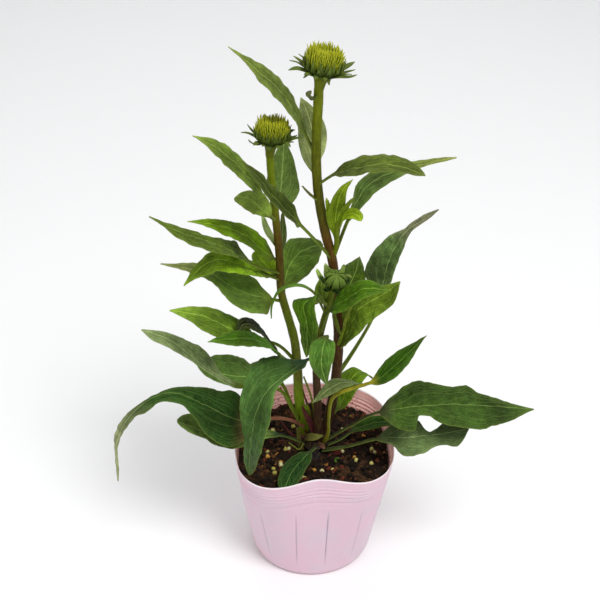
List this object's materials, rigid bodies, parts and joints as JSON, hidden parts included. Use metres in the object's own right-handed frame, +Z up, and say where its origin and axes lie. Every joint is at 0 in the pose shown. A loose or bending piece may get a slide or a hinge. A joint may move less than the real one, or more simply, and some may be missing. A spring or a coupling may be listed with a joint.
{
  "type": "purple coneflower plant in a nursery pot",
  "caption": "Young purple coneflower with green, still closed cone heads, a side bud and lance-shaped leaves, growing in a soft pink nursery pot that stands on its flat base.",
  "frame": {"origin": "middle of the pot's underside, on the surface it stands on", "axes": "+Z up the stems, +X to the right and -Y to the front as the plant is looked at"},
  "size_m": [0.2665, 0.1097, 0.3604],
  "materials": {
    "pot": "thin pale pink blown film, satin, slightly translucent",
    "soil": "moist dark potting mix with cream beads and bark chips",
    "crown": "purple-brown woody crown with old leaf bases",
    "purple_stem": "green stem flushed purple-brown, with short stiff hairs",
    "green_stem": "olive-green stem with short stiff hairs and a brown-red stretch",
    "leaf": "dark green blade, rough with short hairs, paler veins and underside",
    "young_leaf": "bright green young blade, soft sheen",
    "bract": "dark green pointed scales with hairy edges",
    "florets": "stiff green cone spikes with yellow-green tips"
  },
  "bodies": {
    "root": {"pot": "pot", "soil": "soil", "crown": "crown", "stem_tall": "purple_stem", "stem_short": "green_stem", "stem_middle": "green_stem", "leaf_tall_1": "leaf", "leaf_tall_2": "leaf", "leaf_tall_3": "leaf", "leaf_tall_4": "leaf", "leaf_tall_5": "leaf", "leaf_tall_6": "leaf", "leaf_tall_7": "leaf", "leaf_tall_8": "leaf", "leaf_tall_9": "leaf", "leaf_tall_10": "leaf", "leaf_short_1": "leaf", "leaf_short_2": "leaf", "leaf_short_3": "leaf", "leaf_short_4": "leaf", "leaf_short_5": "leaf", "leaf_short_6": "leaf", "leaf_short_7": "leaf", "leaf_short_8": "leaf", "leaf_short_9": "leaf", "leaf_short_10": "leaf", "leaf_short_11": "leaf", "leaf_short_12": "leaf", "leaf_short_13": "leaf", "leaf_short_14": "leaf", "leaf_middle_1": "leaf", "leaf_middle_2": "leaf", "leaf_middle_3": "leaf", "leaf_middle_4": "leaf", "leaf_middle_5": "leaf", "leaf_middle_6": "leaf", "leaf_base_1": "leaf", "leaf_base_2": "leaf", "leaf_base_3": "leaf", "leaf_base_4": "leaf", "leaf_base_5": "leaf", "leaf_base_6": "leaf", "leaf_base_7": "leaf", "leaf_base_8": "leaf", "leaf_base_9": "leaf", "leaf_base_10": "leaf", "leaf_base_11": "leaf", "head_tall_bracts": "bract", "head_tall_florets": "florets", "head_short_bracts": "bract", "head_short_florets": "florets", "bud": "young_leaf", "shoot_upper": "young_leaf", "shoot_lower": "young_leaf"}
  },
  "joints": []
}
